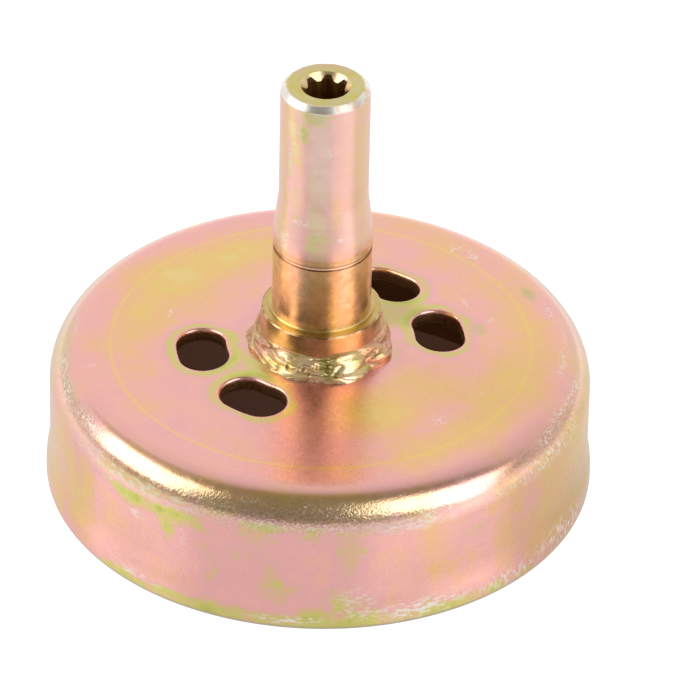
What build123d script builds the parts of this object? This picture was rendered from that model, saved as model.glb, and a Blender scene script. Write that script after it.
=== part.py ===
"""Clutch drum of a garden machine: a pressed cup with a splined shaft welded to its closed end.

Millimetres. The origin is the middle of the open rim, and +Z runs up the shaft.
"""

import os
from math import atan2, cos, degrees, radians, sin, sqrt, tan

from build123d import *

# Cup, drawn from one sheet, with the friction wall turned true inside
friction_bore_diameter = 78.0
sheet_thickness = 2.2
cup_height = 23.7
plate_fall = 1.05
crease_inset = 9.2
crease_fall = 0.15
corner_inner_radius = 3.8
rim_growth = 0.6
rim_growth_height = 4.2
rim_growth_length = 6.0
rim_blend_share = 0.99
rim_outer_round = 0.5
rim_inner_round = 0.4

# Kidney slots, punched in two opposite pairs
slot_width = 7.4
slot_length = 10.6
slot_web = 4.3
slot_land = 5.4
slot_edge_round = 0.5
slot_pairs = 2

# Shaft: the ground bearing seat, then what is turned in steps below and above it
seat_diameter = 15.0
seat_length = 10.5
seat_groove_width = 0.6
seat_groove_depth = 0.25
seat_land = 2.6
shoulder_step = 0.45
shoulder_height = 0.5
shoulder_chamfer = 0.2
collar_step = 1.15
collar_height = 6.25
collar_chamfer = 0.2
spigot_step = 3.1
spigot_clearance = 0.05
spigot_chamfer = 0.4
neck_step = 0.75
neck_length = 18.85
neck_chamfer = 0.8
taper_length = 6.45
taper_blend_radius = 12.0

# Internal spline at the shaft's free end, with a plain relief bore behind it
spline_teeth = 7
spline_minor_diameter = 5.8
spline_depth = 0.62
spline_space_inner = 1.95
spline_space_outer = 0.9
spline_root_round = 0.25
spline_tip_round = 0.2
spline_length = 25.0
entry_margin = 0.3
entry_half_angle = 40.0
relief_margin = 0.25
drill_point_half_angle = 59.0

# Weld bead in the corner between the collar and the cup, thickest where its two ends overlap
bead_leg_on_cup = 2.0
bead_leg_on_collar = 3.0
bead_crown = 0.35
bead_overlap = 0.8
bead_overlap_angle = -123.0
bead_unevenness = 0.25
bead_waves = ((3, 0.6, 40.0), (7, 0.4, 110.0))
bead_wave_lag = 90.0
bead_margin = 0.5
bead_root = 0.6
bead_sections_per_half = 10

# Worked out from the sizes above
friction_radius = friction_bore_diameter / 2
wall_radius = friction_radius + sheet_thickness
rim_radius = wall_radius + rim_growth
crease_radius = wall_radius - crease_inset
corner_outer_radius = corner_inner_radius + sheet_thickness
plate_inside = cup_height - sheet_thickness
crease_height = cup_height - plate_fall
corner_height = crease_height - crease_fall
seat_radius = seat_diameter / 2
shoulder_radius = seat_radius + shoulder_step
collar_radius = shoulder_radius + collar_step
spigot_radius = collar_radius - spigot_step
neck_radius = seat_radius - neck_step
bead_seat_radius = (
    collar_radius + bead_leg_on_cup + bead_overlap + bead_unevenness + bead_margin
)
slot_pitch_radius = collar_radius + slot_land + slot_width / 2
slot_span_angle = degrees((slot_length - slot_width) / slot_pitch_radius)
slot_spacing_angle = degrees((slot_length + slot_web) / slot_pitch_radius)
collar_top = cup_height + collar_height
shoulder_top = collar_top + shoulder_height
groove_bottom = shoulder_top + seat_length
groove_top = groove_bottom + seat_groove_width
taper_bottom = groove_top + seat_land
taper_top = taper_bottom + taper_length
shaft_top = taper_top + neck_length
spline_minor_radius = spline_minor_diameter / 2
spline_major_radius = spline_minor_radius + spline_depth
spline_tip_reach = sqrt(spline_minor_radius**2 - (spline_space_inner / 2) ** 2)
entry_radius = spline_major_radius + entry_margin
relief_radius = spline_major_radius + relief_margin
spline_bottom = shaft_top - spline_length


def outline(*corners):
    """Draw a closed outline from (x, y, radius) corners, where a radius of 0 stays sharp."""
    points = [(x, y) for x, y, _ in corners]
    FilletPolyline(*points, radius=[radius for _, _, radius in corners], close=True)


# Cup: one section turned round the axis, thicker at the rim where the draw gathers the metal
rim_blend_half = rim_growth_length / 4
rim_blend_turn = atan2(rim_growth, 2 * rim_blend_half)
rim_blend_radius = rim_blend_share * rim_blend_half / tan(rim_blend_turn / 2)

with BuildPart() as drum_cup:
    with BuildSketch(Plane.XZ):
        with BuildLine():
            outline(
                (spigot_radius + spigot_clearance, plate_inside, 0),
                (spigot_radius + spigot_clearance, cup_height, 0),
                (bead_seat_radius, cup_height, 0),
                (crease_radius, crease_height, 0),
                (wall_radius, corner_height, corner_outer_radius),
                (wall_radius, rim_growth_height + rim_blend_half, rim_blend_radius),
                (rim_radius, rim_growth_height - rim_blend_half, rim_blend_radius),
                (rim_radius, 0, rim_outer_round),
                (friction_radius, 0, rim_inner_round),
                (friction_radius, corner_height - sheet_thickness, corner_inner_radius),
                (crease_radius, crease_height - sheet_thickness, 0),
                (bead_seat_radius, plate_inside, 0),
            )
        make_face()
    revolve(axis=Axis.Z)

    # Two opposite pairs of slots, each pair even about the X axis
    with BuildSketch(Plane.XY.offset(cup_height)):
        for side in (-1, 1):
            middle_angle = side * slot_spacing_angle / 2
            with PolarLocations(0, slot_pairs, start_angle=middle_angle):
                SlotArc(
                    CenterArc((0, 0), slot_pitch_radius, -slot_span_angle / 2, slot_span_angle),
                    height=slot_width,
                )
    extrude(amount=-(sheet_thickness + plate_fall), mode=Mode.SUBTRACT)

    # The punch drew the upper edge of each slot in
    sloping_plate = drum_cup.faces().filter_by(GeomType.CONE).sort_by(Axis.Z)[-1]
    fillet(sloping_plate.inner_wires().edges(), slot_edge_round)

drum_cup.part.label = "drum_cup"

# Shaft: one turned section, then the bore, the spline and its entry cone
with BuildPart() as splined_shaft:
    with BuildSketch(Plane.XZ):
        with BuildLine():
            outline(
                (0, plate_inside, 0),
                (spigot_radius - spigot_chamfer, plate_inside, 0),
                (spigot_radius, plate_inside + spigot_chamfer, 0),
                (spigot_radius, cup_height, 0),
                (collar_radius, cup_height, 0),
                (collar_radius, collar_top - collar_chamfer, 0),
                (collar_radius - collar_chamfer, collar_top, 0),
                (shoulder_radius, collar_top, 0),
                (shoulder_radius, shoulder_top - shoulder_chamfer, 0),
                (shoulder_radius - shoulder_chamfer, shoulder_top, 0),
                (seat_radius, shoulder_top, 0),
                (seat_radius, groove_bottom, 0),
                (seat_radius - seat_groove_depth, groove_bottom, 0),
                (seat_radius - seat_groove_depth, groove_top, 0),
                (seat_radius, groove_top, 0),
                (seat_radius, taper_bottom, taper_blend_radius),
                (neck_radius, taper_top, taper_blend_radius),
                (neck_radius, shaft_top - neck_chamfer, 0),
                (neck_radius - neck_chamfer, shaft_top, 0),
                (0, shaft_top, 0),
            )
        make_face()
    revolve(axis=Axis.Z)

    # Relief bore, drilled from the cup's side up to the spline
    with BuildSketch(Plane.XZ):
        with BuildLine():
            Polyline(
                (0, plate_inside),
                (relief_radius, plate_inside),
                (relief_radius, spline_bottom),
                (0, spline_bottom + relief_radius / tan(radians(drill_point_half_angle))),
                close=True,
            )
        make_face()
    revolve(axis=Axis.Z, mode=Mode.SUBTRACT)

    # Broached spline: a round hole with one tapering space for each tooth of the drive shaft
    with BuildSketch(Plane.XY.offset(spline_bottom)) as spline:
        Circle(spline_minor_radius)
        with PolarLocations(0, spline_teeth):
            Polygon(
                (0, -spline_space_inner / 2),
                (spline_tip_reach, -spline_space_inner / 2),
                (spline_major_radius, -spline_space_outer / 2),
                (spline_major_radius, spline_space_outer / 2),
                (spline_tip_reach, spline_space_inner / 2),
                (0, spline_space_inner / 2),
                align=None,
            )
        fillet(spline.vertices().group_by(SortBy.DISTANCE)[-1], spline_root_round)
        fillet(spline.vertices().group_by(SortBy.DISTANCE)[0], spline_tip_round)
    extrude(amount=spline_length, mode=Mode.SUBTRACT)

    # Entry cone that guides the drive shaft in
    with BuildSketch(Plane.XZ):
        with BuildLine():
            Polyline(
                (0, shaft_top),
                (entry_radius, shaft_top),
                (0, shaft_top - entry_radius / tan(radians(entry_half_angle))),
                close=True,
            )
        make_face()
    revolve(axis=Axis.Z, mode=Mode.SUBTRACT)

splined_shaft.part.label = "splined_shaft"


def bead_swell(turn):
    """How far the bead swells or shrinks, from -1 to 1, at an angle round the collar."""
    return sum(share * sin(radians(count * turn + start)) for count, share, start in bead_waves)


def bead_overlap_share(turn):
    """Share of the overlap's extra leg, 1 where the bead's ends meet and 0 a quarter turn away."""
    return max(0, cos(radians(turn - bead_overlap_angle))) ** 2


# Weld bead: two half rings lofted through uneven sections, then trimmed to its two seats
with BuildPart() as weld_bead:
    for half_start in (0, 180):
        for section in range(bead_sections_per_half + 1):
            turn = half_start + 180 * section / bead_sections_per_half
            outward = Vector(cos(radians(turn)), sin(radians(turn)), 0)
            leg = bead_leg_on_cup + bead_overlap * bead_overlap_share(turn)
            toe = collar_radius + leg + bead_unevenness * bead_swell(turn)
            top = bead_leg_on_collar + bead_unevenness * bead_swell(turn + bead_wave_lag)
            crown = ((collar_radius + toe) / 2 + bead_crown, top / 2 + bead_crown)
            section_plane = Plane((0, 0, cup_height), outward, outward.cross(Vector(0, 0, 1)))
            with BuildSketch(section_plane):
                with BuildLine():
                    ThreePointArc((toe, 0), crown, (collar_radius, top))
                    Polyline(
                        (collar_radius, top),
                        (collar_radius - bead_root, top),
                        (collar_radius - bead_root, -bead_root),
                        (toe, -bead_root),
                        (toe, 0),
                    )
                make_face()
        loft()
    split(bisect_by=Plane.XY.offset(cup_height), keep=Keep.TOP)
    with BuildSketch(Plane.XY.offset(cup_height)):
        Circle(collar_radius)
    extrude(amount=collar_height, mode=Mode.SUBTRACT)

weld_bead.part.label = "weld_bead"

os.makedirs("parts", exist_ok=True)
export_step(drum_cup.part, "parts/drum_cup.step")
export_step(splined_shaft.part, "parts/splined_shaft.step")
export_step(weld_bead.part, "parts/weld_bead.step")
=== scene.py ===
# %% [markdown]
# # Dressing a plated clutch drum
# The drum is a pressed steel cup with a turned shaft welded to its closed end. Its shapes come from the
# CAD model, so this lesson is about finish: zinc under a yellow chromate film, whose colour runs from
# gold over pink to green as the film gets thicker. Everything is in metres, in the frame of the CAD model.

# %% Load the CAD model as the fixed frame
from math import cos, pi, radians, sin, tau

import bpy
import numpy as np
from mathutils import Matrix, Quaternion, Vector, noise


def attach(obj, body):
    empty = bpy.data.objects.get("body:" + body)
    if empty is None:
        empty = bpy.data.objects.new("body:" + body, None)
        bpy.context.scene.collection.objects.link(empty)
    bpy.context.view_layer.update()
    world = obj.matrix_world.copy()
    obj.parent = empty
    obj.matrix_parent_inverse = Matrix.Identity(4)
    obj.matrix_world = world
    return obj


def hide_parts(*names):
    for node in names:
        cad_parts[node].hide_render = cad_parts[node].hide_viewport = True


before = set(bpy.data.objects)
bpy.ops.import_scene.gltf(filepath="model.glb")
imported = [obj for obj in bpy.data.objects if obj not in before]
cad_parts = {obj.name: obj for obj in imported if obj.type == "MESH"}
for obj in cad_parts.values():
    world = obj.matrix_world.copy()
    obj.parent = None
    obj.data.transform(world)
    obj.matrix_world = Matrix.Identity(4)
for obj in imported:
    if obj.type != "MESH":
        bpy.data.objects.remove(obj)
cup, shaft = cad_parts["drum_cup"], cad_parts["splined_shaft"]
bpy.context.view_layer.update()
scene = bpy.context.scene

# %% [markdown]
# ## Camera
# A spare part is photographed for a shop with a long lens from well away, so that round things stay round.
# The lens and the place below were fitted to the drum's rim, crease and shaft in the picture. A tracking
# quaternion points the camera, and a small roll about its own axis follows the tilt of the picture.

# %% Camera from the fitted view
camera_distance = 1.02966
camera_elevation = radians(35.141)
camera_turn = radians(-33.45)
camera_roll = radians(1.261)
camera_target = Vector((0.002439, -0.001611, 0.023394))
front = Vector((sin(camera_turn), -cos(camera_turn), 0))
towards_camera = front * cos(camera_elevation) + Vector((0, 0, sin(camera_elevation)))

camera = bpy.data.objects.new("camera", bpy.data.cameras.new("camera"))
camera.data.sensor_width = 36.0
camera.data.lens = 358.8
camera.location = camera_target + towards_camera * camera_distance
camera.rotation_mode = "QUATERNION"
level_view = towards_camera.to_track_quat("Z", "Y")
camera.rotation_quaternion = level_view @ Quaternion((0, 0, 1), camera_roll)
scene.collection.objects.link(camera)
scene.camera = camera
scene.view_settings.view_transform = "Standard"
print("camera at", [round(c, 3) for c in camera.location], "m, lens", camera.data.lens, "mm")

# %% [markdown]
# ## Small helpers for node trees
# Shader trees get long, so small helpers keep them readable. Two of them feed a socket and add a node with
# its inputs in order. Each of the others stands for a node that is used all the time, such as a sum, a soft
# step or a noise. Sizes on the drum are in millimetres, and angles in degrees.

# %% Helpers that add and join nodes
def feed(socket, value):
    """Join another socket to this one, or set this one's own value."""
    if isinstance(value, bpy.types.NodeSocket):
        socket.id_data.links.new(value, socket)
    else:
        socket.default_value = value


def add(tree, kind, *values, **settings):
    """Add a shader node, set its settings and feed its inputs in order."""
    made = tree.nodes.new("ShaderNode" + kind)
    for name, value in settings.items():
        setattr(made, name, value)
    for socket, value in zip(made.inputs, values):
        feed(socket, value)
    return made


def calc(tree, operation, *values):
    """The result of one Math node."""
    return add(tree, "Math", *values, operation=operation).outputs[0]


def times(tree, first, second):
    """Two values multiplied, such as two masks that both have to hold."""
    return calc(tree, "MULTIPLY", first, second)


def total(tree, *values):
    """The sum of several values."""
    result = values[0]
    for value in values[1:]:
        result = calc(tree, "ADD", result, value)
    return result


def ease(tree, value, start, end):
    """0 at start and 1 at end, with a soft step between them."""
    return add(tree, "MapRange", value, start, end, interpolation_type="SMOOTHSTEP").outputs[0]


def tint(tree, share, first, second, how="MIX"):
    """Two colours mixed by a share from 0 to 1."""
    made = add(tree, "Mix", share, data_type="RGBA", blend_type=how)
    feed(made.inputs[6], first)
    feed(made.inputs[7], second)
    return made.outputs[2]


def cloud(tree, place, grain, detail=2.0):
    """Soft noise with lumps about grain millimetres across, mostly between 0.3 and 0.7."""
    made = add(tree, "TexNoise", place)
    made.inputs["Scale"].default_value = 1 / grain
    made.inputs["Detail"].default_value = detail
    return made.outputs[0]


def distance(tree, x, y):
    """The length of a flat arrow that goes x one way and y across it."""
    arrow = add(tree, "CombineXYZ", x, y, 0.0).outputs[0]
    return add(tree, "VectorMath", arrow, operation="LENGTH").outputs["Value"]


def stretch(tree, place, x, y, z):
    """The place with each axis scaled, so that a noise read there is drawn out."""
    return add(tree, "VectorMath", place, (x, y, z), operation="MULTIPLY").outputs[0]


def linear(red, green, blue):
    """A colour picked on screen, from 0 to 255, as the linear light that shaders work in."""
    parts = [c / 255 for c in (red, green, blue)]
    return (*[c / 12.92 if c <= 0.04045 else ((c + 0.055) / 1.055) ** 2.4 for c in parts], 1.0)


def grey(level):
    """A neutral colour of one level of linear light."""
    return (level, level, level, 1.0)


print("helpers ready, mid grey is", [round(part, 3) for part in linear(128, 128, 128)])

# %% [markdown]
# ## White table
# The picture is a shop picture, taken on a white glossy table that is lit from below. One large face with a
# glowing material is enough for that. The table's glow is painted dark brown under the cup, as painted shade,
# with a thin soft line of painted shade at the cup's foot. The table is see-through from below for views of
# the underside.

# %% White table
floor_reach = 3.0
table_glow = 0.63
table_glow_seen = 1.0
table_height = -0.00005
table_dark, table_pale = 0.22, 0.26
cup_foot, foot_shade = 0.0413, 0.00045
painted_shade_under_cup = linear(58, 36, 27)
floor_mesh = bpy.data.meshes.new("floor")
signs = ((-1, -1), (1, -1), (1, 1), (-1, 1))
corners = [(x * floor_reach, y * floor_reach, table_height) for x, y in signs]
floor_mesh.from_pydata(corners, [], [(0, 1, 2, 3)])
floor = bpy.data.objects.new("floor", floor_mesh)
scene.collection.objects.link(floor)

table_top = bpy.data.materials.new("table_top")
table_top.use_nodes = True
tree = table_top.node_tree
surface = tree.nodes["Principled BSDF"]
surface.inputs["Roughness"].default_value = 0.12
surface.inputs["Specular IOR Level"].default_value = 0.8
surface.inputs["Emission Strength"].default_value = 1.0
spot = add(tree, "TexCoord").outputs["Object"]
from_axis = add(tree, "VectorMath", spot, operation="LENGTH").outputs["Value"]
seen = add(tree, "LightPath").outputs["Is Camera Ray"]
glow = tint(tree, seen, grey(table_glow), grey(table_glow_seen))
# painted shade: the glow turns dark brown under the cup, with a soft line of shade at its foot
in_open = ease(tree, from_axis, cup_foot, cup_foot + foot_shade)
feed(surface.inputs["Emission Color"], tint(tree, in_open, painted_shade_under_cup, glow))
haze = cloud(tree, spot, 0.002)
feed(surface.inputs["Base Color"], tint(tree, haze, grey(table_dark), grey(table_pale)))
below = add(tree, "NewGeometry").outputs["Backfacing"]
both_sides = add(tree, "MixShader", below, surface.outputs[0], add(tree, "BsdfTransparent").outputs[0])
feed(tree.nodes["Material Output"].inputs["Surface"], both_sides.outputs[0])
floor_mesh.materials.append(table_top)
print("floor", 2 * floor_reach, "m wide")

# %% [markdown]
# ## Room and soft lights
# Metal shows its surroundings, so the room is part of the finish. Two soft lights lean over the drum from
# the left and the right, and a white wall stands behind it. The camera stands in a dark room, which makes
# the brown bands on the shaft and on the front of the cup. Just over the table the room is paler, and most
# of all on the right. A world colour by direction gives all that without building a studio.

# %% Room and soft lights
back_wall, side_wall = 1.0, 0.82
room_dark, table_edge = (0.28, 0.26, 0.225, 1), (0.66, 0.62, 0.57, 1)
side_strip = (1.1, 1.06, 1.0, 1)
right = Vector((cos(camera_turn), sin(camera_turn), 0))
light_distance = 0.6
power_for_area = 4


def soft_light(name, side, height, width, tall, lean, brightness):
    """A soft light that faces the drum, at an angle to the right of the camera and above the floor."""
    lamp = bpy.data.lights.new(name, "AREA")
    lamp.shape = "RECTANGLE"
    lamp.size, lamp.size_y = width, tall
    lamp.energy = brightness * width * tall * power_for_area
    turned = Quaternion((0, 0, 1), radians(side)) @ front
    direction = turned * cos(radians(height)) + Vector((0, 0, sin(radians(height))))
    made = bpy.data.objects.new(name, lamp)
    made.location = camera_target + direction * light_distance
    made.rotation_mode = "QUATERNION"
    made.rotation_quaternion = direction.to_track_quat("Z", "Y") @ Quaternion((0, 0, 1), radians(lean))
    made.visible_camera = False
    scene.collection.objects.link(made)
    return made


soft_light("left_light", side=-80, height=33, width=0.45, tall=0.37, lean=9, brightness=2.2)
soft_light("right_light", side=52, height=31, width=0.56, tall=0.41, lean=-30, brightness=1.87)

world = bpy.data.worlds.new("studio")
scene.world = world
world.use_nodes = True
tree = world.node_tree
direction = add(tree, "TexCoord").outputs["Generated"]
towards_front = add(tree, "VectorMath", direction, tuple(front), operation="DOT_PRODUCT").outputs["Value"]
walls = tint(tree, ease(tree, towards_front, -0.75, -0.25), grey(back_wall), grey(side_wall))
upward = add(tree, "SeparateXYZ", direction).outputs["Z"]
near_room = tint(tree, ease(tree, upward, 0.22, 0.0), room_dark, table_edge)
rightward = add(tree, "VectorMath", direction, tuple(right), operation="DOT_PRODUCT").outputs["Value"]
low_right = times(tree, ease(tree, rightward, 0.6, 0.9), ease(tree, upward, 0.4, 0.12))
near_room = tint(tree, low_right, near_room, side_strip)
room = tint(tree, ease(tree, towards_front, -0.25, 0.06), walls, near_room)
feed(tree.nodes["Background"].inputs["Color"], room)

# %% [markdown]
# ## Node group: where on the drum
# Every finish here follows the turned shape, so the groups need a radius, an angle and a height rather than
# X, Y and Z. Object coordinates give the place in metres, and the pieces sit at the frame's origin, so this
# group only has to turn them into millimetres and degrees. The rolled place is the skin laid flat, with its
# seam on the far side, for marks that run round the drum.

# %% Build the place group
def new_group(name, inputs, outputs):
    """A shader node group with named sockets, with its input and output nodes."""
    group = bpy.data.node_groups.new(name, "ShaderNodeTree")
    for side, sockets in (("INPUT", inputs), ("OUTPUT", outputs)):
        for socket_name, kind in sockets.items():
            group.interface.new_socket(socket_name, in_out=side, socket_type="NodeSocket" + kind)
    return group, group.nodes.new("NodeGroupInput").outputs, group.nodes.new("NodeGroupOutput").inputs


def use(tree, group, **values):
    """Place a node group in a tree, feed its inputs by name and give back its outputs."""
    made = tree.nodes.new("ShaderNodeGroup")
    made.node_tree = group
    for name, value in values.items():
        feed(made.inputs[name.replace("_", " ")], value)
    return made.outputs


mm_per_metre = 1000
seam_angle = 56.55
place_group, _, results = new_group(
    "place on drum",
    {},
    {"Place": "Vector", "Rolled": "Vector", "Radius": "Float", "Angle": "Float", "Height": "Float"},
)
metres = add(place_group, "TexCoord").outputs["Object"]
place = stretch(place_group, metres, mm_per_metre, mm_per_metre, mm_per_metre)
x, y, z = add(place_group, "SeparateXYZ", place).outputs
radius = distance(place_group, x, y)
angle = calc(place_group, "DEGREES", calc(place_group, "ARCTAN2", y, x))
angle = calc(place_group, "WRAP", angle, seam_angle, seam_angle - 360)
arc = times(place_group, calc(place_group, "RADIANS", angle), radius)
feed(results["Place"], place)
feed(results["Rolled"], add(place_group, "CombineXYZ", arc, radius, z).outputs[0])
feed(results["Radius"], radius)
feed(results["Angle"], angle)
feed(results["Height"], z)
print("group:", place_group.name)

# %% [markdown]
# ## Node group: chromate film
# A chromate film is thin enough for light to interfere in it, so its thickness shows as colour: straw, gold,
# peach, pink, then green. A colour ramp over thickness is the shortest way to paint that. Two clouds shift
# the thickness, so neighbouring spots slide along the same run of colours as they do on the real plating.

# %% Build the film group
film_colours = {
    0.00: linear(232, 222, 196),
    0.14: linear(233, 213, 152),
    0.28: linear(234, 199, 124),
    0.42: linear(238, 190, 142),
    0.55: linear(241, 182, 172),
    0.66: linear(237, 178, 177),
    0.76: linear(224, 190, 146),
    0.87: linear(209, 203, 118),
    1.00: linear(190, 188, 96),
}
film_group, given, results = new_group(
    "chromate film", {"Place": "Vector", "Thickness": "Float", "Mottle": "Float"}, {"Color": "Color"}
)
broad_size, fine_size, fine_share = 7.0, 1.3, 0.3
broad = calc(film_group, "SUBTRACT", cloud(film_group, given["Place"], broad_size), 0.5)
fine = calc(film_group, "SUBTRACT", cloud(film_group, given["Place"], fine_size, 3.0), 0.5)
shift = calc(film_group, "MULTIPLY_ADD", fine, fine_share, broad)
thickness = calc(film_group, "MULTIPLY_ADD", shift, given["Mottle"], given["Thickness"])
colours = add(film_group, "ValToRGB", thickness)
stops = colours.color_ramp.elements
stops[0].position, stops[1].position = 0.0, 1.0
for position, colour in film_colours.items():
    stop = stops[0] if position == 0 else stops[-1] if position == 1 else stops.new(position)
    stop.color = colour
grain = ease(film_group, cloud(film_group, given["Place"], 0.35, 2.0), 0.25, 0.75)
shade = tint(film_group, grain, (0.98, 0.975, 0.97, 1), (1.0, 1.0, 1.0, 1))
feed(results["Color"], tint(film_group, 1.0, colours.outputs[0], shade, "MULTIPLY"))


def film_colour(tree, place, thickness, mottle):
    """The colour of a film of this thickness, which drifts as far as the mottle lets it."""
    return use(tree, film_group, Place=place, Thickness=thickness, Mottle=mottle)["Color"]


print("group:", film_group.name, "with", len(stops), "colours")

# %% [markdown]
# ## Node group: ragged patch
# Plating bath, handling and storage leave patches: greener spots, rubbed spots, pale scuffs. Each one is an
# oval in angle and in height or radius, and a cloud frays its border. Placing one group many times with
# its own numbers is easier to steer than one big noise, because each patch can go where the real one is.

# %% Build the patch group
patch_group, given, results = new_group(
    "ragged patch",
    {
        "Angle": "Float",
        "Along": "Float",
        "Cloud": "Float",
        "Middle Angle": "Float",
        "Middle Along": "Float",
        "Half Angle": "Float",
        "Half Along": "Float",
        "Fray": "Float",
        "Soft": "Float",
    },
    {"Mask": "Float"},
)
off_angle = calc(patch_group, "SUBTRACT", given["Angle"], given["Middle Angle"])
off_angle = calc(patch_group, "WRAP", off_angle, 180.0, -180.0)
off_along = calc(patch_group, "SUBTRACT", given["Along"], given["Middle Along"])
sideways = calc(patch_group, "DIVIDE", off_angle, given["Half Angle"])
lengthways = calc(patch_group, "DIVIDE", off_along, given["Half Along"])
reach = distance(patch_group, sideways, lengthways)
ragged = calc(patch_group, "SUBTRACT", given["Cloud"], 0.5)
frayed = calc(patch_group, "MULTIPLY_ADD", ragged, given["Fray"], reach)
inner = calc(patch_group, "SUBTRACT", 1.0, given["Soft"])
outer = calc(patch_group, "ADD", 1.0, given["Soft"])
feed(results["Mask"], ease(patch_group, frayed, outer, inner))


def patches(tree, angle, along, wear, fray, soft, rows):
    """The sum of several patches, each (middle angle, middle along, half angle, half along, amount)."""
    result = 0.0
    for middle_angle, middle_along, half_angle, half_along, amount in rows:
        mask = use(
            tree,
            patch_group,
            Angle=angle,
            Along=along,
            Cloud=wear,
            Middle_Angle=middle_angle,
            Middle_Along=middle_along,
            Half_Angle=half_angle,
            Half_Along=half_along,
            Fray=fray,
            Soft=soft,
        )["Mask"]
        result = calc(tree, "MULTIPLY_ADD", mask, amount, result)
    return result


print("group:", patch_group.name)

# %% [markdown]
# ## Node group: flecks
# Parts in a bin rub on each other. That breaks the film in small pale flecks, which follow the rub: round on
# a knock, drawn out on a scrape. A noise cut off near its peak gives such flecks, and a size for each
# axis draws them out. Masks from the patch group then say where on the drum they are.

# %% Build the fleck group
fleck_group, given, results = new_group(
    "flecks",
    {"Place": "Vector", "Long": "Float", "Wide": "Float", "Tall": "Float", "Level": "Float"},
    {"Mask": "Float"},
)
size = add(fleck_group, "CombineXYZ", given["Long"], given["Wide"], given["Tall"]).outputs[0]
scaled = add(fleck_group, "VectorMath", given["Place"], size, operation="DIVIDE").outputs[0]
fleck_softness = 0.14
sharp_end = calc(fleck_group, "ADD", given["Level"], fleck_softness)
feed(results["Mask"], ease(fleck_group, cloud(fleck_group, scaled, 1.0, 4.0), given["Level"], sharp_end))


def flecks(tree, place, long, wide, tall, level):
    """A mask of flecks of one size in millimetres. The higher the level, the fewer there are."""
    return use(tree, fleck_group, Place=place, Long=long, Wide=wide, Tall=tall, Level=level)["Mask"]


print("group:", fleck_group.name)

# %% [markdown]
# ## Finish of the cup
# The cup is drawn from sheet, so its skin has a fine orange peel where the corner stretched, and rubbed
# spots round the rim. One measure does most of the work: how deep a point lies under the outer skin. It is
# 0 on the outside, the sheet's thickness on the inside, and between those on the punched slot walls.

# %% Sizes of the cup that its finish follows
cup_height = 23.7
plate_fall = 1.05
land_radius = 12.65
crease_radius = 32.0
wall_radius = 41.2
corner_radius = 6.0
corner_start = wall_radius - corner_radius
corner_height = 22.5
wall_top = corner_height - corner_radius
slot_pitch_radius = 18.2
slot_middle_angle = 23.45
slot_half_width = 3.7
slot_half_run = 1.6


def sheet_depth(tree, radius, height):
    """Millimetres under the cup's outer skin."""
    fall = calc(tree, "SUBTRACT", radius, land_radius)
    fall = times(tree, fall, plate_fall / (crease_radius - land_radius))
    fall = add(tree, "Clamp", fall, 0.0, plate_fall).outputs[0]
    level = total(tree, height, fall, corner_height - cup_height)
    out = calc(tree, "MAXIMUM", calc(tree, "SUBTRACT", radius, corner_start), 0.0)
    up = calc(tree, "MAXIMUM", calc(tree, "SUBTRACT", level, wall_top), 0.0)
    return calc(tree, "SUBTRACT", corner_radius, distance(tree, out, up))


def slot_distance(tree, radius, angle):
    """Millimetres from the edge of the nearest slot, measured along the plate."""
    folded = calc(tree, "ABSOLUTE", calc(tree, "WRAP", angle, 90.0, -90.0))
    run = calc(tree, "SUBTRACT", folded, slot_middle_angle)
    run = calc(tree, "ABSOLUTE", times(tree, run, radians(slot_pitch_radius)))
    past_run = calc(tree, "MAXIMUM", calc(tree, "SUBTRACT", run, slot_half_run), 0.0)
    sideways = calc(tree, "SUBTRACT", radius, slot_pitch_radius)
    return calc(tree, "SUBTRACT", distance(tree, past_run, sideways), slot_half_width)


print("cup wall radius", wall_radius, "mm")

# %% [markdown]
# ## Zones of the cup
# A finish is easier to steer when each zone of a piece has a mask of its own. Height alone tells the plate,
# the corner and the wall apart, and soft steps let no border show. One cloud frays the border of every
# patch, so that all of them look like the work of one bath.

# %% Cup: metal and zones
def new_material(name):
    """An empty metal material with its tree and its shader."""
    made = bpy.data.materials.new(name)
    made.use_nodes = True
    shader = made.node_tree.nodes["Principled BSDF"]
    shader.inputs["Metallic"].default_value = 1.0
    return made, made.node_tree, shader


cup_finish, tree, shader = new_material("cup_plating")
place, rolled, radius, angle, height = use(tree, place_group)
depth = sheet_depth(tree, radius, height)
slots = slot_distance(tree, radius, angle)
wear = cloud(tree, place, 2.4, 4.0)
on_plate = ease(tree, height, 21.6, 22.2)
below_plate = ease(tree, height, 22.3, 21.6)
below_edge = ease(tree, height, 22.0, 21.4)
on_corner = times(tree, ease(tree, height, 17.8, 19.4), ease(tree, height, 22.2, 21.7))
above_wall = ease(tree, height, 17.4, 18.4)
on_wall = ease(tree, height, 20.5, 18.5)
print("cup zones:", len(tree.nodes), "nodes")

# %% [markdown]
# ## Film on the cup
# The bath leaves more film in some places than in others. A table row is one patch: its middle, its half
# sizes in degrees and millimetres, and how much thicker or thinner the film is there. The patches add up to
# one thickness, with a halo round the slots and a ragged band along the rim, and the film group turns it
# into colour. So a patch changes its colour the way that a real one does.

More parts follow.
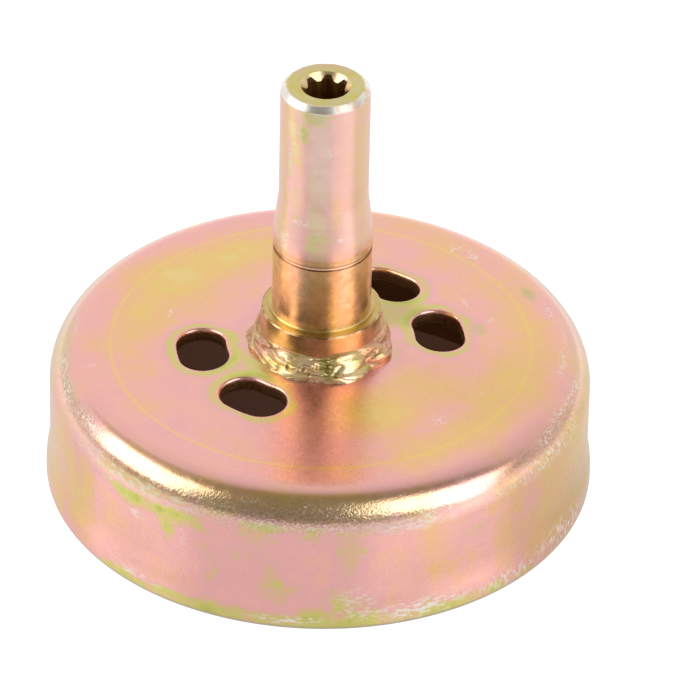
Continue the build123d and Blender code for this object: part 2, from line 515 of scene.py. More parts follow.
# %% Cup: film thickness on the plate
plate_film = (
    (104, 27.0, 34, 5.5, -0.27),
    (-88, 20.0, 24, 5.0, -0.20),
    (-68, 31.6, 42, 3.4, -0.21),
    (-103, 21.5, 13, 6.5, -0.10),
    (-62, 25.0, 16, 4.5, -0.05),
    (145, 30.0, 30, 5.0, -0.06),
    (5, 29.5, 52, 8.0, -0.09),
    (0, 14.5, 15, 4.5, 0.22),
    (180, 14.5, 15, 4.5, 0.17),
)
plate_patches = patches(tree, angle, radius, wear, 0.5, 0.9, plate_film)
halo = times(tree, ease(tree, calc(tree, "MULTIPLY_ADD", wear, -1.6, slots), 2.2, -0.4), 0.28)
rolled_edge = times(tree, ease(tree, slots, 0.65, 0.3), -0.36)
by_weld = times(tree, ease(tree, calc(tree, "MULTIPLY_ADD", wear, 3.0, radius), 16.5, 13.0), 0.12)
plate_part = times(tree, total(tree, plate_patches, halo, rolled_edge, by_weld), on_plate)
print("film patches on the plate:", len(plate_film))

# %% Cup: film thickness on the wall and the corner
wall_film = (
    (-194, 10.0, 17, 10.0, -0.18),
    (-179, 9.0, 9, 6.0, -0.12),
    (-50, 10.0, 34, 18.0, -0.25),
    (-137, 12.0, 5, 6.0, 0.12),
    (-117, 10.0, 5, 9.0, 0.09),
    (-128, 5.0, 12, 2.5, 0.06),
    (-162, 16.6, 16, 2.2, 0.20),
    (95, 7.0, 30, 7.0, -0.20),
)
wall_spots = (
    (-166, 15.4, 7, 1.3, 0.12),
    (-156, 15.6, 3.2, 2.4, 0.14),
    (-156, 12.4, 2.0, 1.8, 0.22),
    (-132, 17.8, 8, 0.8, 0.10),
    (-110, 17.2, 9, 0.7, 0.08),
    (-64, 1.4, 28, 2.4, 0.06),
    (-128, 6.6, 1.6, 1.4, 0.07),
    (-117, 4.6, 3.0, 1.2, 0.08),
    (-88, 13.0, 3.0, 1.6, 0.14),
    (40, 12.0, 16, 3.0, 0.16),
    (150, 14.0, 10, 2.4, 0.18),
    (-163, 18.2, 13, 1.3, -0.34),
)
corner_film = ((-128, 20.0, 27, 6.0, -0.18), (-166, 20.0, 16, 6.0, -0.06), (70, 20.0, 40, 6.0, -0.12))
left_rim_film = ((-194, 1.0, 18, 6.0, 4.0),)
wall_zones = patches(tree, angle, height, wear, 0.6, 0.8, wall_film)
wall_greens = patches(tree, angle, height, wear, 2.0, 0.6, wall_spots)
streaks = calc(tree, "SUBTRACT", cloud(tree, stretch(tree, place, 1.0, 1.0, 0.35), 4.0, 3.0), 0.5)
soft_spots = flecks(tree, place, 3.0, 3.0, 2.2, 0.52)
drifts = calc(tree, "MULTIPLY_ADD", streaks, 0.4, times(tree, soft_spots, 0.08))
left_rim = patches(tree, angle, height, wear, 0.8, 0.5, left_rim_film)
rim_fray = total(tree, height, times(tree, wear, 2.6), left_rim)
rim_fray = calc(tree, "MULTIPLY_ADD", cloud(tree, place, 8.0), 3.0, rim_fray)
rim_band = times(tree, ease(tree, rim_fray, 6.0, 4.0), 0.24)
wall_part = times(tree, total(tree, 0.03, wall_zones, wall_greens, rim_band, drifts), on_wall)
corner_part = times(tree, on_corner, patches(tree, angle, height, wear, 0.6, 0.6, corner_film))
usual_thickness = 0.56
thickness = total(tree, usual_thickness, plate_part, wall_part, corner_part)
film = film_colour(tree, place, thickness, 0.34)
print("film patches on the wall and corner:", len(wall_film) + len(wall_spots) + len(corner_film))

# %% [markdown]
# ## Stains, painted shade and painted reflections on the cup
# The corner stretched when the cup was drawn, so its skin is an orange peel that looks pale and peppered. A
# thin yellow line marks the crease of the plate, and the outer edges are dull. The lower right of the wall
# and two bands either side of the front get painted shade, the foot a painted contact shade, the silhouettes
# and the far edge a painted reflection colour, and a thin line over the left highlight a painted dark
# reflection.
# Film thickness has no such colours, so each stain, shade and reflection is a tint of its own, laid over the
# film where its patches are.

# %% Cup: crease, peel and freckles
grain_zones = (
    (-130, 19.4, 27, 2.0, 1.0),
    (-168, 18.4, 20, 1.3, 0.6),
    (-188, 20.2, 11, 2.5, 0.4),
    (-88, 18.2, 26, 1.2, 0.5),
    (75, 19.4, 40, 2.0, 0.8),
    (-100, 20.6, 24, 1.6, 0.35),
    (-165, 20.8, 16, 1.4, 0.3),
)
sooty_zones = ((-130, 19.2, 24, 2.0, 0.3), (75, 19.2, 30, 2.0, 0.3))
brown_between_slots = ((0, 13.6, 16, 3.4, 0.4),)
crease = calc(tree, "ABSOLUTE", calc(tree, "SUBTRACT", radius, crease_radius))
crease_line = times(tree, ease(tree, crease, 0.4, 0.1), on_plate)
film = tint(tree, times(tree, crease_line, 0.6), film, linear(238, 202, 118))
grainy = times(tree, patches(tree, angle, height, wear, 1.0, 0.6, grain_zones), below_edge)
film = tint(tree, times(tree, grainy, 0.3), film, linear(226, 220, 204))
pepper_grain = flecks(tree, place, 0.4, 0.4, 0.3, 0.44)
sooty = patches(tree, angle, height, wear, 1.0, 0.6, sooty_zones)
pepper = times(tree, times(tree, pepper_grain, sooty), below_edge)
film = tint(tree, pepper, film, linear(134, 100, 70))
between_slots = patches(tree, angle, radius, wear, 0.6, 0.6, brown_between_slots)
film = tint(tree, times(tree, between_slots, on_plate), film, linear(168, 150, 100))
freckles = flecks(tree, place, 0.9, 0.9, 0.9, 0.73)
film = tint(tree, times(tree, freckles, 0.5), film, linear(160, 120, 92))
print("peel zones:", len(grain_zones))

# %% Cup: dull edges, painted shade and painted reflections
dull_edges = (
    (-60, 40.2, 20, 1.2, 0.4),
    (-206, 39.4, 12, 0.7, 0.4),
    (-190, 39.7, 11, 0.9, 0.45),
)
shade_line = ((-168, 38.0, 15, 0.35, 0.45),)
green_patches = ((-9.5, 35.0, 3.0, 0.8, 0.7), (-23.5, 24.4, 3.4, 1.0, 0.5))
side_shades = (
    (-58, 8.0, 24, 14.0, 0.3),
    (-44, 3.5, 22, 6.0, 0.4),
    (-99, 6.0, 9, 6.0, 0.2),
    (-165, 6.0, 9, 6.0, 0.15),
)
far_edge = ((56, 20.0, 92, 4.0, 0.55),)
side_edges = ((146, 10.0, 12, 16.0, 0.5), (-33, 10.0, 9, 16.0, 0.3))
dull_edge = times(tree, patches(tree, angle, radius, wear, 1.2, 0.6, dull_edges), above_wall)
film = tint(tree, dull_edge, film, tint(tree, pepper_grain, linear(218, 194, 160), linear(170, 138, 98)))
# painted reflection: a thin dark line just above the left highlight on the corner, where the dark room shows
painted_dark_line = times(tree, patches(tree, angle, radius, wear, 0.5, 0.7, shade_line), above_wall)
film = tint(tree, painted_dark_line, film, linear(158, 126, 78))
pale_green = times(tree, patches(tree, angle, radius, wear, 1.6, 0.6, green_patches), on_plate)
film = tint(tree, pale_green, film, linear(192, 188, 134))
# painted shade: darker tan on the lower right of the wall and on two bright bands either side of the front
shaded_side = patches(tree, angle, height, wear, 0.6, 0.8, side_shades)
film = tint(tree, shaded_side, film, linear(184, 146, 104))
# painted reflection: a grey-beige tint along the far edge of the corner and the top of the wall
painted_far_reflection = times(tree, patches(tree, angle, height, wear, 0.5, 0.3, far_edge), below_plate)
film = tint(tree, painted_far_reflection, film, linear(192, 180, 155))
# painted reflection: an olive tint up the left and right silhouettes of the wall
painted_edge_reflection = times(tree, patches(tree, angle, height, wear, 0.5, 0.6, side_edges), below_plate)
film = tint(tree, painted_edge_reflection, film, linear(204, 194, 134))
# painted shade: a greyer, darker band at the foot of the wall, where it meets the table
painted_foot_shade = times(tree, ease(tree, calc(tree, "MULTIPLY_ADD", wear, 0.5, height), 1.1, 0.5), 0.55)
film = tint(tree, painted_foot_shade, film, linear(190, 168, 144))
print("dull edges and sides:", len(dull_edges) + len(side_shades) + len(far_edge) + len(side_edges))

# %% [markdown]
# ## Rubbed spots on the cup
# Other parts in the bin have rubbed the film off in flecks: along the rim, down the wall, on the plate and
# at the corner. The fleck group gives the grain of each kind of rub, and the tables say where it happened.
# The largest of these masks is the rubbed share, which also makes the skin rougher further down.

# %% Cup: rubs along and down the wall
scuffs_along = (
    (-163, 2.4, 6.0, 0.7, 0.9),
    (-128, 1.5, 7.0, 0.6, 1.3),
    (-115, 4.6, 3.5, 2.2, 0.7),
    (-102, 2.2, 9.0, 1.3, 1.4),
    (-164, 13.0, 1.6, 0.7, 0.9),
    (-172, 18.0, 9.0, 1.4, 0.8),
    (-158, 18.2, 8.0, 1.2, 0.7),
    (-102, 17.6, 8.0, 1.0, 0.9),
    (-140, 19.8, 10.0, 0.5, 0.8),
    (20, 2.0, 12.0, 1.0, 0.9),
    (130, 18.4, 16.0, 0.9, 0.7),
)
scuffs_down = (
    (-80, 2.0, 7.0, 1.2, 0.9),
    (-58, 2.6, 12.0, 1.6, 0.9),
    (-152, 11.5, 0.8, 2.6, 0.7),
    (-66, 18.2, 13.0, 1.4, 0.8),
    (80, 1.8, 10.0, 0.9, 0.9),
)
along = flecks(tree, rolled, 1.1, 9.0, 0.32, 0.46)
down = flecks(tree, rolled, 0.34, 9.0, 1.0, 0.48)
along = times(tree, along, patches(tree, angle, height, wear, 1.8, 0.7, scuffs_along))
down = times(tree, down, patches(tree, angle, height, wear, 1.8, 0.7, scuffs_down))
wall_rubs = times(tree, calc(tree, "MAXIMUM", along, down), on_wall)
print("rubs on the wall:", len(scuffs_along) + len(scuffs_down))

# %% Cup: knocks on the plate and the corner
marks_on_plate = (
    (19.4, 33.2, 1.2, 0.9, 1.6),
    (16.5, 34.4, 3.0, 0.5, 2.4),
    (12.6, 33.6, 1.3, 0.7, 1.8),
    (0.5, 26.1, 1.0, 0.6, 1.4),
    (-7, 24.6, 2.0, 0.3, 1.8),
    (-19, 26.8, 1.3, 0.6, 1.5),
    (-61, 27.8, 0.8, 0.4, 1.2),
    (-81, 26.7, 2.4, 1.2, 0.7),
    (130, 24.1, 2.4, 0.3, 1.4),
    (158, 35.1, 0.6, 1.2, 0.9),
)
worn_edges = (
    (-17.5, 36.3, 4.0, 0.6, 0.7),
    (-29, 37.2, 4.0, 0.4, 0.8),
    (-38, 36.9, 5.0, 0.5, 0.8),
    (-47, 39.3, 6.0, 0.4, 0.8),
    (-55, 38.9, 5.0, 0.5, 0.7),
    (-63, 39.6, 6.0, 0.5, 0.7),
    (141, 37.6, 4.0, 0.6, 0.5),
    (150, 38.8, 5.0, 0.4, 0.6),
    (158, 39.3, 7.0, 0.5, 0.7),
    (165, 39.8, 5.0, 0.4, 0.7),
    (174, 39.5, 4.0, 0.5, 0.8),
    (60, 39.0, 10.0, 0.8, 0.6),
)
round_ones = flecks(tree, place, 0.5, 0.5, 0.5, 0.5)
mark_zone = times(tree, patches(tree, angle, radius, wear, 1.2, 0.5, marks_on_plate), on_plate)
stray = flecks(tree, place, 0.7, 0.7, 0.5, 0.6)
stray = times(tree, stray, calc(tree, "MULTIPLY_ADD", grainy, 0.9, 0.12))
edge_flecks = flecks(tree, rolled, 0.7, 0.3, 0.3, 0.47)
edge_wear = times(tree, patches(tree, angle, radius, wear, 2.0, 0.7, worn_edges), above_wall)
rubbed = calc(tree, "MAXIMUM", wall_rubs, times(tree, round_ones, mark_zone))
rubbed = calc(tree, "MAXIMUM", rubbed, stray)
rubbed = calc(tree, "MAXIMUM", rubbed, times(tree, edge_flecks, edge_wear))
film = tint(tree, times(tree, rubbed, 0.8), film, linear(238, 231, 218))
print("knocks on the plate and the corner:", len(marks_on_plate) + len(worn_edges))

# %% [markdown]
# ## Cut edges and inside of the cup
# The walls of the punched slots are rough and brown, and the inside was turned true after drawing, with fine
# rings. The depth under the outer skin tells both from the outside, so no face has to be picked by hand.

# %% Cup: cut edges and inside
cut_edge = times(tree, ease(tree, depth, 0.45, 0.75), ease(tree, depth, 2.15, 1.95))
inside = ease(tree, depth, 1.9, 2.1)
burnt = tint(tree, cloud(tree, place, 0.5, 3.0), linear(120, 78, 52), linear(196, 150, 104))
film = tint(tree, cut_edge, film, burnt)
turned_face = cloud(tree, stretch(tree, place, 0.2, 0.2, 5.0), 1.0, 2.0)
dull = tint(tree, turned_face, linear(150, 124, 84), linear(206, 184, 138))
film = tint(tree, inside, film, dull)
feed(shader.inputs["Base Color"], film)
print("cup colour:", len(tree.nodes), "nodes")

# %% [markdown]
# ## Gloss and relief of the cup
# Plated sheet is satin, so it shows the lights as soft fields. The stretched corner shines a little more,
# and rubbed spots and cuts shine less. Relief this fine would take millions of faces, so it is bump: the
# orange peel, slow waves in the sheet, and torn metal in the cuts.

# %% Cup: gloss and relief
def bump(tree, height_mm):
    """A normal from heights in millimetres."""
    made = add(tree, "Bump")
    made.inputs["Distance"].default_value = 1 / mm_per_metre
    feed(made.inputs["Height"], height_mm)
    return made.outputs["Normal"]


satin = calc(tree, "MULTIPLY_ADD", cloud(tree, place, 1.6, 4.0), 0.14, 0.21)
satin = calc(tree, "MULTIPLY_ADD", on_corner, -0.06, satin)
satin = calc(tree, "MULTIPLY_ADD", rubbed, 0.2, satin)
satin = calc(tree, "MULTIPLY_ADD", calc(tree, "MAXIMUM", cut_edge, inside), 0.2, satin)
feed(shader.inputs["Roughness"], satin)

peel = times(tree, cloud(tree, place, 0.4, 2.0), calc(tree, "MULTIPLY_ADD", grainy, 0.045, 0.002))
waves = times(tree, cloud(tree, place, 5.0, 2.0), 0.02)
rough_cut = times(tree, times(tree, cut_edge, 0.08), cloud(tree, place, 0.4, 3.0))
feed(shader.inputs["Normal"], bump(tree, total(tree, peel, waves, rough_cut)))
cup.data.materials.clear()
cup.data.materials.append(cup_finish)
print("cup finish:", len(tree.nodes), "nodes")

# %% [markdown]
# ## Finish of the shaft
# The shaft was turned, then its bearing seat was ground, and the whole weldment was plated. The turned upper
# end stays satin with fine rings, while the ground seat and the collar are nearly mirrors: they look like
# copper because they show the plate, and so take its colour twice. Height alone tells the zones apart.

# %% Shaft: sizes, metal and zones
collar_radius, collar_top = 9.1, 29.95
seat_radius = 7.5
groove_height, groove_lip_height = 41.25, 41.7
ground_end = 42.75
shaft_top = 69.45
bore_radius = 3.85
shaft_finish, tree, shader = new_material("shaft_plating")
shader.inputs["Anisotropic"].default_value = 0.5
shader.inputs["Anisotropic Rotation"].default_value = 0.25
place, rolled, radius, angle, height = use(tree, place_group)
wear = cloud(tree, place, 2.0, 4.0)
drawn = cloud(tree, stretch(tree, rolled, 0.3, 0.1, 1.2), 1.0, 4.0)
on_ground = ease(tree, height, ground_end + 0.15, ground_end - 0.15)
print("shaft ground up to", ground_end, "mm, turned up to", shaft_top, "mm")

# %% [markdown]
# ## Film on the turned end
# The plating on the turned end has the same colours as the cup, but its patches run round the shaft,
# because they follow the fine rings that the tool left. A cloud that is drawn out round the shaft frays
# them that way.

# %% Shaft: film on the turned end
shaft_film = (
    (-152, 64.6, 8, 2.0, 0.50),
    (-140, 67.8, 20, 1.1, 0.42),
    (-168, 65.0, 6, 3.0, -0.22),
    (-161, 61.5, 4, 2.0, -0.20),
    (-174, 58.5, 6, 4.0, 0.50),
    (-162, 51.0, 9, 6.0, 0.34),
    (-127, 57.0, 15, 16.0, 0.16),
    (-140, 49.0, 10, 6.0, 0.10),
    (-125, 44.6, 14, 2.4, 0.07),
    (-66, 56.0, 17, 16.0, -0.15),
    (-172, 57.0, 18, 16.0, -0.24),
    (-108, 51.0, 5, 3.0, -0.20),
    (30, 60.0, 25, 5.0, 0.30),
    (100, 53.0, 30, 4.0, -0.20),
)
upper_painted_reflection = ((-128, 59.0, 15, 9.0, 0.45),)
film_patches = patches(tree, angle, height, drawn, 2.0, 0.7, shaft_film)
film_patches = calc(tree, "MULTIPLY_ADD", calc(tree, "SUBTRACT", drawn, 0.5), 0.15, film_patches)
upper = film_colour(tree, place, calc(tree, "ADD", film_patches, 0.57), 0.3)
upper = tint(tree, 0.3, upper, linear(244, 224, 206))
# painted reflection: a paler pink band down the front of the turned end
upper = tint(tree, patches(tree, angle, height, wear, 0.8, 0.7, upper_painted_reflection), upper, linear(250, 226, 220))
print("film patches on the turned end:", len(shaft_film))

# %% [markdown]
# ## Ground seat and collar
# The seat has a thin golden film with faint stains, and on one side it is worn and speckled. A painted
# highlight makes it paler just right of the front, and painted shade makes it browner at the front and on the
# right side.
# The collar below it is browner. Its top edge and the two small steps over it are yellow and catch the light
# in short broken lines. All these zones lie one over the other, so they are tinted in that order.

# %% Shaft: seat and collar
seat_highlight_rows = ((-98, 36.0, 9, 8.0, 0.7),)
seat_shade_rows = ((-128, 36.0, 15, 8.0, 0.5), (-64, 36.0, 10, 8.0, 0.6))
seat_worn = ((-148, 38.0, 14, 3.6, 0.8),)
lower = film_colour(tree, place, 0.39, 0.3)
lower = tint(tree, 0.32, lower, linear(238, 220, 196))
on_seat = ease(tree, height, collar_top - 0.05, collar_top + 0.35)
# painted highlight: the seat paler just right of the front
painted_seat_highlight = times(tree, patches(tree, angle, height, wear, 0.8, 0.6, seat_highlight_rows), on_seat)
lower = tint(tree, painted_seat_highlight, lower, linear(226, 204, 194))
# painted shade: the seat browner at the front and on the right side
painted_seat_shade = times(tree, patches(tree, angle, height, wear, 0.8, 0.6, seat_shade_rows), on_seat)
lower = tint(tree, painted_seat_shade, lower, linear(208, 164, 66))
stained = times(tree, ease(tree, cloud(tree, place, 1.6, 4.0), 0.62, 0.4), 0.35)
lower = tint(tree, stained, lower, linear(174, 136, 84))
worn_seat = patches(tree, angle, height, wear, 1.4, 0.7, seat_worn)
worn_specks = times(tree, flecks(tree, rolled, 0.35, 9.0, 0.6, 0.46), worn_seat)
lower = tint(tree, worn_specks, lower, linear(206, 188, 150))
on_collar = times(tree, ease(tree, height, collar_top - 0.15, collar_top - 0.35), 0.45)
lower = tint(tree, on_collar, lower, linear(214, 156, 112))
on_steps = ease(tree, height, collar_top - 0.1, collar_top)
on_steps = times(tree, on_steps, ease(tree, radius, seat_radius + 0.02, seat_radius + 0.1))
lower = tint(tree, on_steps, lower, tint(tree, wear, linear(186, 152, 86), linear(222, 196, 132)))
collar_edge = ease(tree, height, collar_top - 0.27, collar_top - 0.19)
collar_edge = times(tree, collar_edge, ease(tree, radius, collar_radius - 0.3, collar_radius - 0.2))
collar_edge = times(tree, collar_edge, ease(tree, wear, 0.62, 0.4))
lower = tint(tree, collar_edge, lower, linear(160, 120, 72))
film = tint(tree, on_ground, upper, lower)
print("seat radius", seat_radius, "mm, collar radius", collar_radius, "mm")

# %% [markdown]
# ## Top end, groove and bore
# The top face is yellow with a faint blush, and its chamfer is rubbed almost bare. The groove in the seat
# is a fine line with painted shade at its walls and its lip and a painted highlight on its floor. The bore
# below its entry cone is painted darker, as shade.
# Heights and radii mark each of these off, as a drawing would.

# %% Shaft: top end, groove and bore
top_blushes = ((45, 5.6, 34, 0.8, 0.6), (100, 5.4, 14, 0.6, 0.5))
top_face = ease(tree, height, shaft_top - 0.1, shaft_top - 0.02)
top_film = tint(tree, ease(tree, wear, 0.35, 0.65), linear(205, 190, 108), linear(208, 196, 142))
top_blush = patches(tree, angle, radius, wear, 1.0, 0.6, top_blushes)
top_film = tint(tree, top_blush, top_film, linear(218, 182, 156))
film = tint(tree, top_face, film, top_film)
chamfer = ease(tree, height, shaft_top - 1.1, shaft_top - 0.7)
chamfer = times(tree, chamfer, ease(tree, radius, 5.6, 6.0))
bare = times(tree, chamfer, ease(tree, cloud(tree, place, 1.2, 4.0), 0.3, 0.55))
film = tint(tree, bare, film, linear(236, 233, 226))
groove_middle = calc(tree, "ABSOLUTE", calc(tree, "SUBTRACT", height, groove_height))
in_groove = ease(tree, radius, seat_radius - 0.04, seat_radius - 0.1)
in_groove = times(tree, ease(tree, groove_middle, 0.36, 0.26), in_groove)
painted_groove_highlight = times(tree, ease(tree, groove_middle, 0.2, 0.1), in_groove)
# painted shade at the groove's walls, a painted highlight on its floor, and a painted shade line at the lip
film = tint(tree, times(tree, in_groove, 0.6), film, linear(140, 92, 60))
film = tint(tree, painted_groove_highlight, film, linear(255, 226, 204))
lip = calc(tree, "ABSOLUTE", calc(tree, "SUBTRACT", height, groove_lip_height))
film = tint(tree, times(tree, ease(tree, lip, 0.2, 0.06), 0.5), film, linear(132, 84, 52))
# painted shade: the bore is darker below its entry cone
in_bore = ease(tree, radius, bore_radius + 0.1, bore_radius - 0.1)
entry = ease(tree, height, shaft_top - 1.3, shaft_top - 1.0)
film = tint(tree, in_bore, film, tint(tree, entry, linear(206, 164, 96), linear(234, 208, 166)))
print("groove at", groove_height, "mm, bore radius", bore_radius, "mm")

# %% [markdown]
# ## Rings, knocks and gloss of the shaft
# Turning leaves rings, in colour and in relief, and grinding takes most of them away. A noise that is
# squeezed along the axis gives rings of uneven strength. A few knocks show pale metal. The shader's
# anisotropy draws each highlight out across the rings, as on any turned part.

# %% Shaft: rings, knocks, gloss and relief
shaft_knocks = (
    (-118, 61.5, 4, 0.8, 0.6),
    (-101, 46.4, 5, 0.5, 0.6),
    (-152, 48.8, 14, 0.6, 0.4),
    (-126, 47.6, 12, 0.3, 0.3),
    (-176, 44.6, 8, 1.8, 0.6),
)
rings = cloud(tree, stretch(tree, place, 0.05, 0.05, 4.0), 1.0, 3.0)
ringed = tint(tree, 1.0, film, (0.97, 0.965, 0.96, 1), "MULTIPLY")
film = tint(tree, ease(tree, rings, 0.35, 0.65), ringed, film)
knocks = flecks(tree, place, 0.4, 0.4, 0.3, 0.46)
knocks = times(tree, knocks, patches(tree, angle, height, wear, 1.6, 0.6, shaft_knocks))
film = tint(tree, knocks, film, linear(246, 238, 228))
feed(shader.inputs["Base Color"], film)

gloss = calc(tree, "MULTIPLY_ADD", on_ground, -0.03, 0.22)
gloss = total(tree, gloss, times(tree, wear, 0.2), times(tree, worn_seat, 0.1))
feed(shader.inputs["Roughness"], calc(tree, "MULTIPLY_ADD", chamfer, 0.04, gloss))

ring_height = times(tree, rings, calc(tree, "MULTIPLY_ADD", on_ground, -0.003, 0.005))
dent_depth = calc(tree, "MULTIPLY_ADD", on_ground, -0.012, 0.016)
dents = times(tree, cloud(tree, place, 2.6, 2.0), dent_depth)
feed(shader.inputs["Normal"], bump(tree, calc(tree, "ADD", ring_height, dents)))
shaft.data.materials.clear()
shaft.data.materials.append(shaft_finish)
print("shaft finish:", len(tree.nodes), "nodes")

# %% [markdown]
# ## Weld bead
# A weld is a row of frozen puddles. The bead shows lumps where the arc paused, folds where the skin wrinkled
# along the run, a few bubbles, and a thin frayed toe on the plate. The CAD bead has the size and the uneven
# swell, and this piece stands for it with the same legs. It is a ring of sections, kept as arrays with a row
# for each step round the collar and a column for each step from the toe up to the collar.

# %% Legs of the bead, as in the CAD model
bead_leg_on_cup, bead_leg_on_collar = 2.0, 3.0
bead_overlap, bead_overlap_angle = 0.8, radians(-123)
bead_unevenness, bead_crown = 0.25, 0.25
bead_waves = ((3, 0.6, 40.0), (7, 0.4, 110.0))
turn_steps, across_steps = 1080, 44
turn = np.linspace(0, tau, turn_steps, endpoint=False)[:, None]
across = np.linspace(0, 1, across_steps)[None, :]


def swell(angle):
    """How far the bead swells or shrinks, from -1 to 1, at an angle round the collar."""
    return sum(share * np.sin(count * angle + radians(start)) for count, share, start in bead_waves)


overlap = np.maximum(0, np.cos(turn - bead_overlap_angle)) ** 2
leg = bead_leg_on_cup + bead_overlap * overlap + bead_unevenness * swell(turn)
rise = bead_leg_on_collar + bead_unevenness * swell(turn + pi / 2)
toe_radius = collar_radius + leg
print("toe radius", round(float(toe_radius.min()), 2), "to", round(float(toe_radius.max()), 2), "mm")

# %% [markdown]
# ## Lumps and folds
# The puddles are lumps a few millimetres long, and the skin on them wrinkles along the run. Noise that is
# drawn out along the run gives both. For the folds its absolute value is used, because that falls to a
# sharp crease wherever the noise changes sign, with a round lobe on each side, as on frozen metal.

# %% Lumps and folds along the run
ring_radius = collar_radius + bead_leg_on_cup / 2
slope_width = 3.6
lump_long, lump_wide, lump_height = 5.0, 2.0, 0.50
fold_long, fold_wide, fold_height = 5.5, 1.1, 0.30
wrinkle_long, wrinkle_wide, wrinkle_height = 2.4, 0.5, 0.07
crease_width = 0.05
lobe_reach = 0.35
fold_slant = 1.1


def read_noise(long, wide, slant):
    """Soft noise over the whole bead: features long along the run, wide across it, and slanting."""
    slid = turn + slant * across * slope_width / ring_radius
    spots = np.stack(
        [
            np.cos(slid) * ring_radius / long,
            np.sin(slid) * ring_radius / long,
            np.broadcast_to(across * slope_width / wide, slid.shape),
        ],
        -1,
    )
    return np.array([noise.noise(Vector(spot)) for spot in spots.reshape(-1, 3)]).reshape(slid.shape)


def rounded(values):
    """Lobes with round tops, from 0 in a sharp crease between two of them to 1."""
    return 1 - (1 - np.minimum(1, np.abs(values) / lobe_reach)) ** 2


lumps = read_noise(lump_long, lump_wide, fold_slant)
folds = read_noise(fold_long, fold_wide, fold_slant)
wrinkles = read_noise(wrinkle_long, wrinkle_wide, fold_slant)
print("lumps from", round(float(lumps.min()), 2), "to", round(float(lumps.max()), 2))

# %% [markdown]
# ## Pits, bubbles and lips
# A few marks of the real bead stand out, so they are placed one by one: a calm lobe, a busy stretch where
# the two ends of the bead overlap, pits, small bubbles, and lips along the collar. Each is a soft hump that
# is added to or taken from the push, which fades out at the toe and at the collar.

# %% Pits, bubbles and lips, placed one by one
calm_angle, calm_reach, calm_share = -99, 2.6, 0.7
busy_angle, busy_reach, busy_share = -128, 5.0, 0.9
pit_depth, lip_height = 0.28, 0.14
lip_place, lip_width = 0.88, 0.1
toe_fade, collar_fade = 6, 8
pits = ((-137, 0.45, 0.6), (-132, 0.28, 0.4), (-117, 0.52, 0.9), (-112, 0.30, 0.6), (-150, 0.40, 0.5))
bubbles = ((-126, 0.74, 0.30), (-129, 0.64, 0.24), (-116, 0.50, 0.24), (-121, 0.30, 0.26), (-131, 0.16, 0.22))
top_lips = ((-101, 3.2), (-158, 3.6), (-74, 2.2))


def arc_from(angle_degrees):
    """Millimetres round the bead from an angle, the short way."""
    return ((turn - radians(angle_degrees) + pi) % tau - pi) * ring_radius


def hump(away, size):
    """1 in the middle and 0 from size outwards, with a soft edge."""
    return np.maximum(0, 1 - (away / size) ** 2) ** 2


calm = 1 - calm_share * hump(arc_from(calm_angle), calm_reach)
busy = 1 + busy_share * hump(arc_from(busy_angle), busy_reach)
lobes = fold_height * (rounded(folds) - 0.6) + busy * wrinkle_height * (rounded(wrinkles) - 0.6)
push = calm * (lump_height * lumps + lobes)
hollow = np.clip(1 - np.minimum(np.abs(folds), 1.6 * np.abs(wrinkles)) / crease_width, 0, 1) * calm
for middle, up, size in pits:
    depth = hump(np.hypot(arc_from(middle), (across - up) * slope_width), size)
    push = push - pit_depth * size * depth
    hollow = np.maximum(hollow, depth)
for middle, up, size in bubbles:
    away = np.hypot(arc_from(middle), (across - up) * slope_width)
    push = np.maximum(push, np.sqrt(np.maximum(0, size**2 - away**2)) + np.where(away < size, 0, -1))
for middle, width in top_lips:
    push = push + lip_height * hump(arc_from(middle), width) * hump(across - lip_place, lip_width)
push = push * np.minimum(1, toe_fade * across) * np.minimum(1, collar_fade * (1 - across))
print("bead pushed out by up to", round(float(push.max()), 2), "mm")

# %% [markdown]
# ## Mesh of the weld
# The sections go from the toe on the plate up to the collar, a little hollow in the middle, and the push
# stands square to that slope. On one side the bead lies lower on the collar. A root just inside the plate
# and the collar closes the ring, so the mesh is watertight. A measure of the creases is kept on the points.

# %% Weld mesh
hollow_power = 1.15
low_side_angle, low_side_reach, low_side_drop = 153, 6.0, 1.3
root_sink = 0.03
toe_fray = 0.4 * lumps[:, :1] + 0.3 * folds[:, :1] + 0.5 * wrinkles[:, :1]
flare = (leg + toe_fray) * (1 - across) ** hollow_power
low_side = low_side_drop * hump(arc_from(low_side_angle), low_side_reach)
rising = (rise - low_side) * across**hollow_power + 0.5 * lumps[:, -1:] * across
slope = np.hypot(leg, rise)
bulge = push + bead_crown * 4 * across * (1 - across)
bead_r = collar_radius + flare + bulge * rise / slope
bead_z = cup_height + rising + bulge * leg / slope
root_r = np.full((turn_steps, 1), collar_radius - root_sink)
root_z = np.full((turn_steps, 1), cup_height - root_sink)
all_r = np.hstack([root_r, bead_r, root_r])
all_z = np.hstack([root_z, bead_z, bead_z[:, -1:]])
all_r[:, 1], all_z[:, 1] = bead_r[:, 0], cup_height - root_sink
columns = all_r.shape[1]
points = np.stack([all_r * np.cos(turn), all_r * np.sin(turn), all_z], -1).reshape(-1, 3) / 1000

faces = []
for step in range(turn_steps):
    following = (step + 1) % turn_steps
    for column in range(columns):
        beside = (column + 1) % columns
        faces.append(
            (
                step * columns + column,
                following * columns + column,
                following * columns + beside,
                step * columns + beside,
            )
        )
weld_mesh = bpy.data.meshes.new("weld_ripples")
weld_mesh.from_pydata(points.tolist(), [], faces)
weld_mesh.shade_smooth()
crease_depths = np.hstack([hollow[:, :1], hollow, hollow[:, -1:]])
crease_marks = weld_mesh.attributes.new("hollow", "FLOAT", "POINT")
crease_marks.data.foreach_set("value", crease_depths.ravel().astype(np.float32))
weld = bpy.data.objects.new("weld_ripples", weld_mesh)
scene.collection.objects.link(weld)
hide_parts("weld_bead")
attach(weld, "root")
print("weld mesh:", len(faces), "faces")
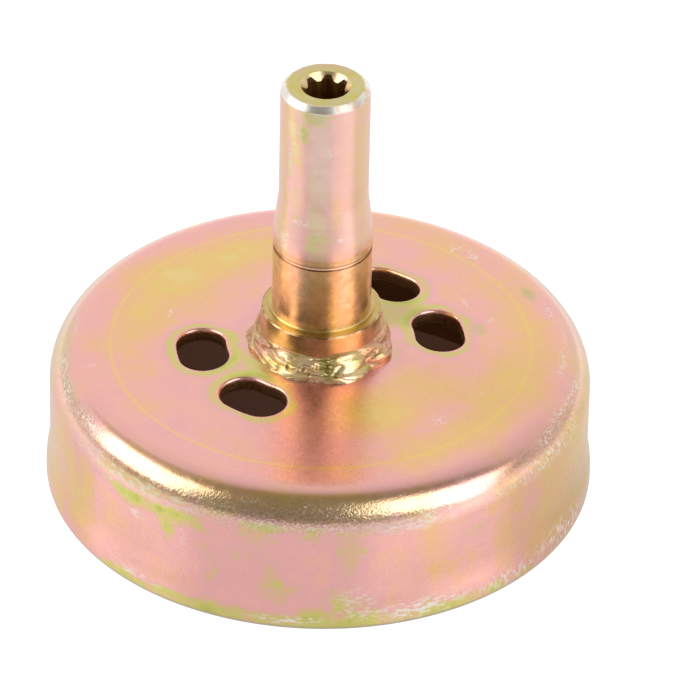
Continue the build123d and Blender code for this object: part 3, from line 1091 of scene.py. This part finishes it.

# %% [markdown]
# ## Finish of the weld
# Weld metal freezes smooth, so the plating on it shines, and its steep little slopes show every light in
# the room. At the front the film is green and straw, with painted highlights that make some lobes pale. At
# the sides it is straw and rosy film, darkened with painted shade, and in the creases and pits it is darkened
# with painted shade. The mesh carries a measure of the creases, and the colour follows it.

# %% Weld material
weld_painted_highlights = (
    (-101, 25.2, 7, 2.2, 0.8),
    (-158, 26.0, 9, 1.0, 0.8),
    (-127, 25.2, 3, 2.4, 0.9),
    (-137, 25.6, 8, 1.2, 0.9),
    (-140, 24.0, 16, 0.6, 0.7),
    (-112, 24.0, 12, 0.5, 0.6),
)
weld_front = ((-126, 25.0, 40, 8.0, 1.0),)
weld_green = ((-117, 25.2, 5, 1.1, 0.6),)
weld_finish, tree, shader = new_material("weld_plating")
place, rolled, _, angle, height = use(tree, place_group)
streaked = cloud(tree, stretch(tree, rolled, 0.3, 0.8, 0.8), 1.0, 3.0)
# painted light: the front that faces the lights takes the painted highlights, the sides the painted shade
painted_lit_front = patches(tree, angle, height, streaked, 0.6, 0.5, weld_front)
green = film_colour(tree, place, 0.88, 0.5)
straw = film_colour(tree, place, 0.16, 0.5)
rosy = film_colour(tree, place, 0.48, 0.5)
blotches = times(tree, ease(tree, cloud(tree, place, 0.8, 3.0), 0.4, 0.6), 0.5)
rosy = tint(tree, blotches, rosy, linear(184, 136, 98))
front_film = tint(tree, ease(tree, streaked, 0.38, 0.54), green, straw)
# painted highlights: pale on some lobes at the front
painted_highlight_lobes = patches(tree, angle, height, streaked, 1.0, 0.4, weld_painted_highlights)
painted_highlight_colour = tint(tree, streaked, linear(252, 232, 184), linear(246, 214, 178))
front_film = tint(tree, painted_highlight_lobes, front_film, painted_highlight_colour)
side_film_and_shade = tint(tree, ease(tree, streaked, 0.34, 0.5), straw, rosy)
# painted shade: the sides of the bead darkened towards brown
side_film_and_shade = tint(tree, 0.4, side_film_and_shade, linear(172, 130, 94))
green_pool = patches(tree, angle, height, streaked, 0.8, 0.4, weld_green)
front_film = tint(tree, green_pool, front_film, linear(150, 158, 66))
film = tint(tree, painted_lit_front, side_film_and_shade, front_film)
toe_stain = ease(tree, cloud(tree, place, 0.7, 3.0), 0.4, 0.6)
toe_stain = times(tree, ease(tree, height, cup_height + 0.5, cup_height + 0.2), toe_stain)
film = tint(tree, times(tree, toe_stain, 0.6), film, linear(160, 118, 78))
# painted shade: darker brown in the creases and pits of the bead
painted_crease_shade = add(tree, "Attribute", attribute_name="hollow").outputs["Fac"]
film = tint(tree, times(tree, painted_crease_shade, 0.8), film, linear(130, 92, 52))
feed(shader.inputs["Base Color"], film)
feed(shader.inputs["Roughness"], calc(tree, "MULTIPLY_ADD", streaked, 0.16, 0.25))
feed(shader.inputs["Normal"], bump(tree, times(tree, cloud(tree, place, 0.5, 2.0), 0.006)))
weld_mesh.materials.append(weld_finish)
print("weld finish:", len(tree.nodes), "nodes")
